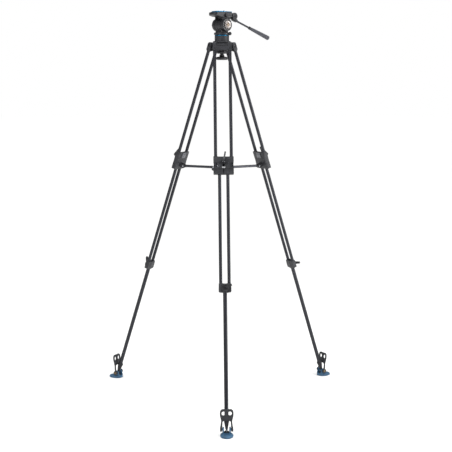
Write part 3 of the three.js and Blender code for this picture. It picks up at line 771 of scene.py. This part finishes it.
def head_body():
    """The flange, the neck and the round drag housing between the cheeks."""
    body = turned([(34.4, 1695.3), (36, 1696.6), (36, 1703.4), (34.2, 1705.4), (30, 1706.4), (0, 1706.4)], 96)
    neck = slab(rounded([(-24, 1700), (24, 1700), (20.5, 1716), (20.5, 1728), (-20.5, 1728), (-20.5, 1716)], 3), -18.9, 18.9, "YZ")
    drum = along(turned([(25.5, -19), (28, -17.4), (28, -8), (26.9, -7), (26.9, 7), (28, 8), (28, 17.4), (25.5, 19)], 80),
                 "X", z=TILT)
    axle = rod(7, -34, 34, "X", (0, TILT))
    combine(body, neck, drum, axle)
    return soften(body, 0.5, 2)


def cheek(side):
    """One round cheek with a rolled edge and a sunk face round the dial. Its outer face is along X."""
    profile = [(26.5, 19.6), (29.4, 22), (29.4, 33.5), (28.7, 36.3), (26.6, 37.8), (25.2, 38), (24.6, 37.1),
               (20.6, 37.1), (20, 38), (8, 38)]
    disc = turned(profile + [(0, 38)], 88)
    along(disc, "X" if side > 0 else "-X", z=TILT)
    return disc


def tilt_platform():
    """The long deck with its sloped nose, on two necks over the cheeks."""
    left = [(-27.5, 50)] + [(-27.5, -44)] + curve((-27.5, -44), (-27.5, -60), (-14, -66), (0, -66), 12)
    right = curve((0, -66), (14, -66), (27.5, -60), (27.5, -44), 12) + [(27.5, 38), (13.5, 41.5), (13.5, 66), (-10, 66),
                                                                        (-14, 56)]
    deck = slab(left + right, 1776, 1794, "XY")
    nose = slab([(-90, 1771), (-30, 1776), (-90, 1788)], -40, 40, "YZ")
    waist = [slab(rounded([(-60, 1780), (60, 1780), (60, 1784), (-60, 1784)], 1.5), x, x + 6, "YZ") for x in (-32, 26)]
    bed = block(-18, 18, -50, 44, 1792.8, 1800)
    combine(deck, cheek(-1), cheek(1), *[block(x - 3.75, x + 3.75, -18, 18, 1752, 1778) for x in (-23.5, 23.5)],
            rod(13, -10, 13.5, "X", (58, 1781), 48), block(-19.5, 19.5, -12, 12, 1769.5, 1778))
    carve(deck, nose, *waist, bed, rod(7.6, -35, 35, "X", (0, TILT)))
    rail = rounded([(-2, 1793), (2, 1793), (1.2, 1798), (-1.2, 1798)], 0.6)
    for x in (-25.5, 25.5):
        bar = slab(rail, -45, 37)
        bar.data.transform(shift(x))
        combine(deck, bar)
    return soften(deck, 1.0, 3, 30)


def dial_ticks(disc, count):
    """Fine marks round the sunk ring of the cheek, every fourth one longer."""
    for k in range(count):
        length = 3.4 if k % 4 == 0 else 2
        tick = block(37.05, 37.5, -0.35, 0.35, 24.2 - length, 24.2)
        tick.data.transform(turn(360 * k / count, "X"))
        combine(disc, tick) if disc else None
        disc = disc or tick
    disc.data.transform(shift(z=TILT))
    return disc


def drag_dial():
    """The turned tilt drag dial: a dished face with a knurled edge."""
    dial = turned([(17.4, 38.3), (18, 39), (18, 41.4), (17.2, 42.3), (15.4, 42.3), (14.4, 41.7), (10, 41.5),
                   (9, 41.8), (0, 41.8)], 90)
    return soften(along(dial, "X", z=TILT), 0.2, 2)


def dial_button():
    """The raised centre of the dial, with a fine groove."""
    button = turned([(9, 41.2), (9, 44), (8.2, 45), (6, 45.2), (5.4, 44.6), (4.8, 45.2), (0, 45.3)], 48)
    return soften(along(button, "X", z=TILT), 0.15, 1)


def fluted_knob(radius, length, ribs, depth=0.9):
    """A moulded knob along Z with a fluted rim and a sunk face."""
    knob = turned([(radius * 0.86, 0), (radius, length * 0.18), (radius, length * 0.82), (radius * 0.9, length),
                   (radius * 0.55, length), (radius * 0.48, length - 0.8), (0, length - 0.8)], 64)
    tools = []
    for k in range(ribs):
        tool = rod(depth * 1.7, -1, length + 1, at=(radius + depth * 0.7, 0), sides=14)
        tool.data.transform(turn(360 * k / ribs, "Z"))
        tools.append(tool)
    carve(knob, *tools)
    return knob


def tilt_lock():
    """The tilt lock: a short hub with a two-ended bar."""
    hub = along(turned([(11, 0), (11, 4.5), (9.4, 6.5), (9, 11.5), (8, 13)], 48), "-X", -38.3, 0, TILT)
    bar = slab(rounded([(-17, TILT - 3.4), (17, TILT - 3.4), (17, TILT + 3.4), (-17, TILT + 3.4)], 3.3, 5), -51, -44.6, "YZ")
    combine(hub, bar)
    return soften(hub, 0.8, 3)


def release_plate():
    """The quick-release plate: dovetailed edges, a long slot and a stepped top for its rubber."""
    half, end, cut = 23.2, 46, 5
    outline = [(-half, cut - end), (cut - half, -end), (half - cut, -end), (half, cut - end),
               (half, end - cut), (half - cut, end), (cut - half, end), (-half, end - cut)]
    plate = slab(rounded(outline, 3), 1794.3, 1801, "XY")
    grooves = [block(x * s, (x + 6) * s, -60, 60, 1795.8, 1798.2) for x in (21.6,) for s in (-1, 1)]
    slot = slab(oblong(0, -18, 0, 22, 3.4, 10), 1790, 1810, "XY")
    beds = [slab(rounded([(-19, a), (19, a), (19, b), (-19, b)], 2), 1799.9, 1805, "XY") for a, b in ((-42, -22), (27, 42))]
    carve(plate, *grooves, slot, *beds)
    return soften(plate, 0.5, 2)


def plate_rubber():
    """Two ribbed rubber pads let into the top of the plate."""
    pad = None
    for a, b in ((-41.7, -22.3), (27.3, 41.7)):
        piece = slab(rounded([(-18.7, a), (18.7, a), (18.7, b), (-18.7, b)], 2), 1799.8, 1800.9, "XY")
        steps = int((b - a) // 3)
        carve(piece, *[block(-17, 17, a + 1.4 + 3 * k, a + 2.4 + 3 * k, 1800.4, 1802) for k in range(steps)])
        pad = combine(pad, piece) if pad else piece
    return soften(pad, 0.15, 1)


def camera_screw():
    """The quarter-inch screw with its turned threads and slotted foot."""
    profile = [(6.4, 1795.4), (6.4, 1796.9), (3.1, 1797.2)]
    height = 1797.2
    while height < 1804.8:
        profile += [(2.65, height + 0.4), (3.1, height + 0.8)]
        height += 0.8
    profile += [(2.5, 1805.9)]
    screw = turned(profile, 36)
    return soften(screw, 0.08, 1)


def handle_mount():
    """The rosette disc and the block that clamps the bar under it."""
    disc = along(turned([(14.4, -6.7), (15.5, -5.8), (15.5, 5), (14.6, 6.2), (9, 6.2), (8.4, 5.4), (0, 5.4)], 64), "X")
    drop, lean = 17, math.radians(HANDLE_PITCH)
    ends = [(d * math.cos(lean), -drop - d * math.sin(lean)) for d in (-8, 10)]
    grip = slab(oblong(*ends[0], *ends[1], 7.2, 12), -6, 6.2, "YZ")
    combine(disc, grip)
    bore = along(turned([(4.35, -60), (4.35, 80)], 40), "Y")
    bore.data.transform(shift(z=-drop) @ turn(-HANDLE_PITCH, "X"))
    carve(disc, bore)
    return soften(disc, 0.6, 3)


def handle_grip(rings):
    """The tapered foam grip, with rings moulded round it and a domed end. It runs along Y."""
    low, high, slim, stout = 107.0, 225.0, 6.9, 10.1
    profile = [(4.4, 105)]
    for k in range(rings + 1):
        y = low + (high - low) * k / rings
        radius = slim + (stout - slim) * ((y - low) / (high - low)) ** 0.8
        profile += [(radius - 0.35, y - 0.6), (radius, y), (radius, y + (high - low) / rings - 1.4)]
    profile += [(9.6, 228.6), (8.2, 231), (5, 231.9), (0, 232)]
    return along(turned(profile, 56), "Y")


# ---- add-on ----
def length(name, description, default_mm):
    return FloatProperty(name=name, description=description, default=default_mm * MM, min=0.0, unit="LENGTH")


def colour(name, description, default):
    return StringProperty(name=name, description=description + ", as an sRGB hex value", default=default)


class TripodSizes(bpy.types.PropertyGroup):
    tube_wall: length("Tube wall", "Thickness of the leg tubes", 1.2)
    spike_drop: length("Leg length", "From the leg's hinge to the foot's pivot, along the leg", 1713.38)
    ring_scallops: bpy.props.IntProperty(name="Ring scallops", description="Finger scallops round the blue ring",
                                         default=20, min=6, max=40)
    grip_rings: bpy.props.IntProperty(name="Grip rings", description="Rings moulded round the handle's grip",
                                      default=22, min=4, max=60)


class TripodColours(bpy.types.PropertyGroup):
    pad_dark: colour("Pad, dark", "Rubber soles, darker tone", "#2c4a63")
    pad_light: colour("Pad, light", "Rubber soles, lighter tone", "#3c6484")
    ring_dark: colour("Ring, dark", "Anodised ring and plate, darker tone", "#0c5a80")
    ring_light: colour("Ring, light", "Anodised ring and plate, lighter tone", "#1f86b4")


class Piece(bpy.types.Operator):
    """What every operator of this file shares"""
    bl_options = {"REGISTER", "UNDO"}

    def execute(self, context):
        self.build(context.scene.tripod_sizes)
        return {"FINISHED"}


def on_each_leg(name, piece, body, finish, node=None, local=Matrix()):
    """Copy a piece modelled in the leg's frame to the three legs."""
    put_all(piece, "{}_" + name,
            [(leg, leg_frame(leg) @ local, f"{leg}_{body}", finish) + ((f"{leg}_{node}",) if node else ())
             for leg in LEGS])


def on_each_foot(name, piece, finish, node=None, local=Matrix()):
    put_all(piece, "{}_" + name,
            [(leg, upright_frame(leg, "foot_tip") @ local, f"{leg}_foot", finish)
             + ((f"{leg}_{node}",) if node else ()) for leg in LEGS])


class TRIPOD_OT_finishes(Piece):
    """Mix the finishes that the other pieces are painted with"""
    bl_idname = "tripod.finishes"
    bl_label = "Finishes"

    def build(self, sizes):
        finishes.update(make_finishes())


class TRIPOD_OT_tubes(Piece):
    """Draw the five tubes of each leg"""
    bl_idname = "tripod.tubes"
    bl_label = "Leg tubes"

    def build(self, sizes):
        make_tubes(sizes.tube_wall / MM)


class TRIPOD_OT_shoulders(Piece):
    """Cast the three shoulders and bolt them to the bowl"""
    bl_idname = "tripod.shoulders"
    bl_label = "Shoulders"

    def build(self, sizes):
        on_each_leg("shoulder_casting", shoulder(), "upper_stage", "casting", "shoulder")
        bolts = []
        for leg in LEGS:
            for side, flip in (("a", turn(0, "Z")), ("b", turn(180, "Z"))):
                bolts.append((f"{leg}_{side}", leg_frame(leg) @ flip, "bowl", "dark_metal"))
        put_all(hinge_bolt(), "{}_hinge_bolt", bolts)
        for side, x in (("a", -35), ("b", 35)):
            screw = along(socket_screw(2.6, 2), "Y", y=8.2, x=x, z=-17)
            on_each_leg(f"shoulder_screw_{side}", screw, "upper_stage", "dark_metal")


class TRIPOD_OT_collars(Piece):
    """Cast the collars, with their bushes, plate, stop bar and screws"""
    bl_idname = "tripod.collars"
    bl_label = "Collars"

    def build(self, sizes):
        on_each_leg("collar_casting", collar(), "upper_stage", "casting", "collar")
        for k, x in enumerate((-35, 35)):
            on_each_leg(f"collar_bush_{k}", tube_bush(), "upper_stage", "lever", 
                        local=shift(x, 0, -523.4) @ turn(-19.3, "X"))
        for k, x in enumerate((-18.3, 18.3)):
            lower = tube_bush()
            lower.data.transform(turn(180, "X"))
            on_each_leg(f"guide_bush_{k}", lower, "upper_stage", "lever", local=shift(x, 0, -604.4))
        on_each_leg("clamp_plate", clamp_plate(), "upper_stage", "light_casting")
        on_each_leg("stop_bar", stop_bar(), "upper_stage", "bright_zinc")
        for k, x in enumerate((-9.5, 9.5)):
            screw = along(socket_screw(2.4, 1.8), "Y", x=x, z=-536)
            screw.data.transform(turn(180, "Z") @ shift(0, 12.7, 0))
            on_each_leg(f"plate_screw_{k}", screw, "upper_stage", "steel")
        on_each_leg("waist_screw", along(socket_screw(2.5, 1.8), "Y", 26.5, 8.2, -568), "upper_stage", "steel")


class TRIPOD_OT_collar_levers(Piece):
    """Mould the wing levers that lock the middle tubes"""
    bl_idname = "tripod.collar_levers"
    bl_label = "Collar levers"

    def build(self, sizes):
        wing = [(3, -8), (2, 40), (4, 46), (8, 44), (27, 8), (31, 2), (29, -4), (20, -9)]
        hub = turned([(10, 0), (10, 2.5), (8.9, 4), (8.4, 11), (7, 12.8), (0, 13)], 48)
        place = shift(0, 10.3, -548) @ turn(-10, "Y")
        on_each_leg("wing_lever", wing_lever(wing, 3.5, hub, 0.9), "collar_lever", "lever", "collar_lever", place)
        bolt = along(socket_screw(4.4, 2.6), "Y", y=12.8)
        on_each_leg("lever_bolt", bolt, "collar_lever", "steel", local=place @ shift(0, 0, -4.2))


class TRIPOD_OT_clamps(Piece):
    """Cast the lower clamps and their wing knobs"""
    bl_idname = "tripod.clamps"
    bl_label = "Lower clamps"

    def build(self, sizes):
        on_each_leg("clamp_casting", clamp(), "middle_stage", "casting", "clamp")
        wing = [(3, 2), (3, 14), (16, 32), (22, 31), (22, 24), (11, 2)]
        hub = turned([(15.5, 0), (15.5, 5.6), (14.6, 8.2), (13.2, 9), (11.6, 8.8), (10.4, 6.8), (0, 6.8)], 64)
        knob = wing_lever(wing, 4, hub, 0.8)
        angles = {"front": 158, "right": -5, "left": 80}
        put_all(knob, "{}_wing_knob",
                [(leg, leg_frame(leg) @ shift(0, 10.3, -1113) @ turn(90 - angles[leg], "Y"), f"{leg}_clamp_knob",
                  "lever", f"{leg}_clamp_knob") for leg in LEGS])
        on_each_leg("knob_bolt", along(socket_screw(4, 2.4), "Y", y=17, z=-1113), "clamp_knob", "dark_metal")


class TRIPOD_OT_spikes(Piece):
    """Cast the spike sleeves with their steel points"""
    bl_idname = "tripod.spikes"
    bl_label = "Spikes"

    def build(self, sizes):
        drop = sizes.spike_drop / MM
        on_each_leg("spike_sleeve", spike_sleeve(drop), "lower_stage", "dark_metal", "foot_spike")
        on_each_leg("spike_tip", spike_tip(drop), "lower_stage", "steel")


class TRIPOD_OT_feet(Piece):
    """Mould the rubber feet: soles, cups, straps and pins"""
    bl_idname = "tripod.feet"
    bl_label = "Feet"

    def build(self, sizes):
        on_each_foot("rubber_sole", foot_pad(), "pad_rubber", "foot_pad")
        on_each_foot("spike_cup", spike_cup(), "lever")
        on_each_foot("rubber_strap", foot_strap(), "strap_rubber", "foot_strap", turn(-6, "X"))
        on_each_foot("strap_pin_a", strap_pin(), "brass")
        on_each_foot("strap_pin_b", strap_pin(), "brass", local=turn(180, "Z"))


class TRIPOD_OT_spreader(Piece):
    """Fit the mid-level spreader: three arms and the hub"""
    bl_idname = "tripod.spreader"
    bl_label = "Spreader"

    def build(self, sizes):
        reach = (Vector(joint("front_arm_fold")["pos_m"]) - Vector(joint("pan")["pos_m"])).to_2d().length / MM - 42
        # The arm tubes wear the lighter copy of the tube finish, with painted light.
        pieces = (("arm_tube", spreader_tube(reach), "arm_tube", "spreader_arm", Matrix()),
                  ("arm_outer_eye", spreader_eye(7, 6, -1), "lever", None, Matrix()),
                  ("arm_inner_eye", spreader_eye(6, 4.5, 1), "lever", None, shift(0, -reach)))
        for name, piece, finish, node, local in pieces:
            put_all(piece, "{}_" + name,
                    [(leg, upright_frame(leg, "arm_fold") @ local, f"{leg}_spreader_arm", finish)
                     + ((f"{leg}_{node}",) if node else ()) for leg in LEGS])
        put_all(rivet(9.9), "{}_hub_rivet",
                [(leg, upright_frame(leg, "arm_fold") @ shift(0, -reach), "spreader_hub", "steel") for leg in LEGS])
        on_each_leg("lug_rivet", rivet(10.6), "upper_stage", "steel", local=shift(0, -27, -583.5))
        hub_place = Matrix.Translation(Vector(joint("pan")["pos_m"]).to_2d().to_3d())
        hub_place.translation.z = joint("front_arm_fold")["pos_m"][2]
        put_all(spreader_hub(), "{}", [("hub_plate", hub_place, "spreader_hub", "casting", "spreader_hub")])


def upright_axis():
    """The tripod's own upright axis, with heights from the floor."""
    centre = Vector(joint("pan")["pos_m"])
    centre.z = 0
    return Matrix.Translation(centre)


class TRIPOD_OT_bowl(Piece):
    """Cast the bowl and turn the half ball, its cup and its knob"""
    bl_idname = "tripod.bowl"
    bl_label = "Bowl and ball"

    def build(self, sizes):
        for name, piece, body, finish, node in (
                ("bowl_casting", bowl(), "bowl", "casting", "bowl"),
                ("ball_casting", half_ball(), "half_ball", "head_casting", "half_ball"),
                                ("tie_down_grip", tie_down_knob(), "tie_down_knob", "lever", "tie_down_knob"),
                ("base_cone", head_base(), "half_ball", "head_casting", "head_base"),
                ("drag_ring", drag_ring(sizes.ring_scallops), "pan_drag_ring", "blue_anodised", "pan_drag_ring")):
            put_all(piece, "{}", [(name, upright_axis(), body, finish, node)])
        put_all(pressure_cup(), "{}", [("ball_cup", head_frame(), "pressure_cup", "lever", "pressure_cup")])


class TRIPOD_OT_head(Piece):
    """Build the fluid head: body, platform, dial and knobs"""
    bl_idname = "tripod.head"
    bl_label = "Fluid head"

    def build(self, sizes):
        pan_knob = along(fluted_knob(8, 7.6, 10), "X", 36.4)
        combine(pan_knob, along(turned([(5.5, 6), (5.5, 9.6), (4.6, 10.6), (0, 10.6)], 40), "X", 36.4))
        plate_knob = along(fluted_knob(7, 9, 10, 0.7), "X", 27.8)
        combine(plate_knob, slab(rounded([(-2, -8.5), (2, -8.5), (2, 8.5), (-2, 8.5)], 1.6), 32.8, 36.8, "YZ"))
        pieces = (
            ("head_casting", head_body(), "head_body", "head_casting", "head_body", Matrix()),
            ("platform_casting", tilt_platform(), "platform", "head_casting", "tilt_platform", Matrix()),
            ("dial_marks", dial_ticks(None, 32), "platform", "mark", None, Matrix()),
            ("dial_face", drag_dial(), "drag_dial", "dial", "drag_dial", Matrix()),
            ("dial_button", dial_button(), "drag_dial", "dial_centre", None, Matrix()),
            ("tilt_lock_grip", tilt_lock(), "tilt_lock_knob", "lever", "tilt_lock_knob", Matrix()),
            ("pan_lock_grip", soften(pan_knob, 0.35, 2), "pan_lock_knob", "lever", "pan_lock_knob",
             shift(0, 0, 1700.65) @ turn(23, "Z")),
            ("plate_lock_grip", soften(plate_knob, 0.4, 2), "plate_lock_knob", "lever", "plate_lock_knob",
             shift(0, 0, 1783)),
            ("release_plate", release_plate(), "plate", "blue_anodised", "quick_release_plate", Matrix()),
            ("release_plate_rubber", plate_rubber(), "plate", "plate_rubber", None, Matrix()),
            ("quarter_inch_screw", camera_screw(), "camera_screw", "steel", "camera_screw", shift(0, 12)))
        for name, piece, body, finish, node, local in pieces:
            put_all(piece, "{}", [(name, head_frame() @ local, body, finish) + ((node,) if node else ())])


class TRIPOD_OT_handle(Piece):
    """Fit the pan handle: mount, bar, ferrule and grip"""
    bl_idname = "tripod.handle"
    bl_label = "Handle"

    def build(self, sizes):
        rosette = head_frame() @ shift(20.75, 58, 1781)
        lever = rosette @ shift(0, 0, -17) @ turn(-HANDLE_PITCH, "X")
        bar = along(turned([(3.6, -13), (4.25, -12.3), (4.25, 219.8), (0, 219.8)], 44), "Y")
        ferrule = along(turned([(4.35, 97), (6.2, 97), (7, 98), (7, 104), (6.2, 106), (4.35, 106)], 52, True), "Y")
        screw = along(socket_screw(4.6, 2.2), "X", 5.2)
        pieces = (
            ("handle_clamp", handle_mount(), "head_casting", "handle_mount", rosette),
            ("rosette_screw", screw, "dark_metal", None, rosette),
            ("handle_tube", soften(bar, 0.3, 2), "tube", "handle_bar", lever),
            ("grip_ferrule", soften(ferrule, 0.4, 2), "lever", None, lever),
            ("foam_handgrip", soften(handle_grip(sizes.grip_rings), 0.25, 2), "grip_foam", "handle_grip", lever))
        for name, piece, finish, node, place in pieces:
            put_all(piece, "{}", [(name, place, "handle", finish) + ((node,) if node else ())])


def area_light(name, place, target, size, watts):
    """A softbox at place, facing target, that the camera doesn't see."""
    data = bpy.data.lights.new(name, "AREA")
    data.shape, data.size, data.size_y, data.energy = "RECTANGLE", size[0], size[1], watts
    light = bpy.data.objects.new(name, data)
    bpy.context.scene.collection.objects.link(light)
    light.location = place
    light.rotation_euler = (Vector(target) - Vector(place)).to_track_quat("-Z", "Y").to_euler()
    light.visible_camera = False
    return light


class TRIPOD_OT_stage(Piece):
    """Lay the pale floor and set the soft lights and the camera"""
    bl_idname = "tripod.stage"
    bl_label = "Stage"

    def build(self, sizes):
        scene = bpy.context.scene
        scene.view_settings.view_transform = "Standard"
        floor = turned([(40000, -40), (40000, 0)], 96)
        floor.name = "studio_floor"
        floor.data.materials.append(self.paper())
        self.surround(scene)
        middle = (0, 0.15, 1.0)
        area_light("key_softbox", (-2.6, -3.2, 3.4), middle, (1.6, 2.4), 70)
        area_light("right_strip", (3.4, -1.2, 1.6), middle, (0.8, 3.0), 90)
        ceiling = bpy.data.lights.new("soft_ceiling", "SUN")
        ceiling.energy, ceiling.angle = 2.6, math.radians(60)
        scene.collection.objects.link(bpy.data.objects.new("soft_ceiling", ceiling))
        camera = bpy.data.objects.new("camera", bpy.data.cameras.new("camera"))
        scene.collection.objects.link(camera)
        camera.location = (-0.154, -4.6435, 1.479)
        pitch, heading = math.radians(-7.91), Vector((0.036, 0.9994, 0))
        aim = heading * math.cos(pitch) + Vector((0, 0, math.sin(pitch)))
        camera.rotation_euler = aim.to_track_quat("-Z", "Y").to_euler()
        camera.data.lens = 82.2
        camera.data.sensor_width = 36
        scene.camera = camera

    def paper(self):
        """White studio paper, very slightly mottled."""
        material, shader, own = new_material("studio_paper")
        place = add(material, "ShaderNodeTexCoord").outputs["Object"]
        fibre = grain(material, place, 400, 3)
        connect(material, blend_colours(material, fibre, "#f4f4f3", "#f8f8f7"), shader, "Base Color")
        shader.inputs["Roughness"].default_value = 0.9
        return material

    def surround(self, scene):
        """A white room to the eye, which lights the object only as brightly as a dim one."""
        world = bpy.data.worlds.new("studio")
        world.use_nodes = True
        scene.world = world
        seen, light = world.node_tree.nodes["Background"], world.node_tree.nodes.new("ShaderNodeBackground")
        seen.inputs["Color"].default_value = linear("#ffffff")
        light.inputs["Color"].default_value = linear("#ffffff")
        light.inputs["Strength"].default_value = 0.32
        mix, path = world.node_tree.nodes.new("ShaderNodeMixShader"), world.node_tree.nodes.new("ShaderNodeLightPath")
        links = world.node_tree.links
        links.new(path.outputs["Is Camera Ray"], mix.inputs[0])
        links.new(light.outputs[0], mix.inputs[1])
        links.new(seen.outputs[0], mix.inputs[2])
        links.new(mix.outputs[0], world.node_tree.nodes["World Output"].inputs[0])


STEPS = (TRIPOD_OT_finishes, TRIPOD_OT_tubes, TRIPOD_OT_shoulders, TRIPOD_OT_collars, TRIPOD_OT_collar_levers,
         TRIPOD_OT_clamps, TRIPOD_OT_spikes, TRIPOD_OT_feet, TRIPOD_OT_spreader, TRIPOD_OT_bowl, TRIPOD_OT_head,
         TRIPOD_OT_handle, TRIPOD_OT_stage)


class TRIPOD_PT_panel(bpy.types.Panel):
    """The tripod's steps, in the order they are built"""
    bl_idname = "TRIPOD_PT_panel"
    bl_label = "Video tripod"
    bl_space_type = "VIEW_3D"
    bl_region_type = "UI"
    bl_category = "Tripod"

    def draw(self, context):
        for group in (context.scene.tripod_sizes, context.scene.tripod_colours):
            for name in group.bl_rna.properties.keys():
                if name not in ("rna_type", "name"):
                    self.layout.prop(group, name)
        for step in STEPS:
            self.layout.operator(step.bl_idname)


CLASSES = (TripodSizes, TripodColours, *STEPS, TRIPOD_PT_panel)


def register():
    for cls in CLASSES:
        bpy.utils.register_class(cls)
    bpy.types.Scene.tripod_sizes = PointerProperty(type=TripodSizes)
    bpy.types.Scene.tripod_colours = PointerProperty(type=TripodColours)


def unregister():
    del bpy.types.Scene.tripod_colours
    del bpy.types.Scene.tripod_sizes
    for cls in reversed(CLASSES):
        bpy.utils.unregister_class(cls)


def main():
    register()
    for step in STEPS:
        group, name = step.bl_idname.split(".")
        getattr(getattr(bpy.ops, group), name)()


if __name__ == "__main__":
    main()
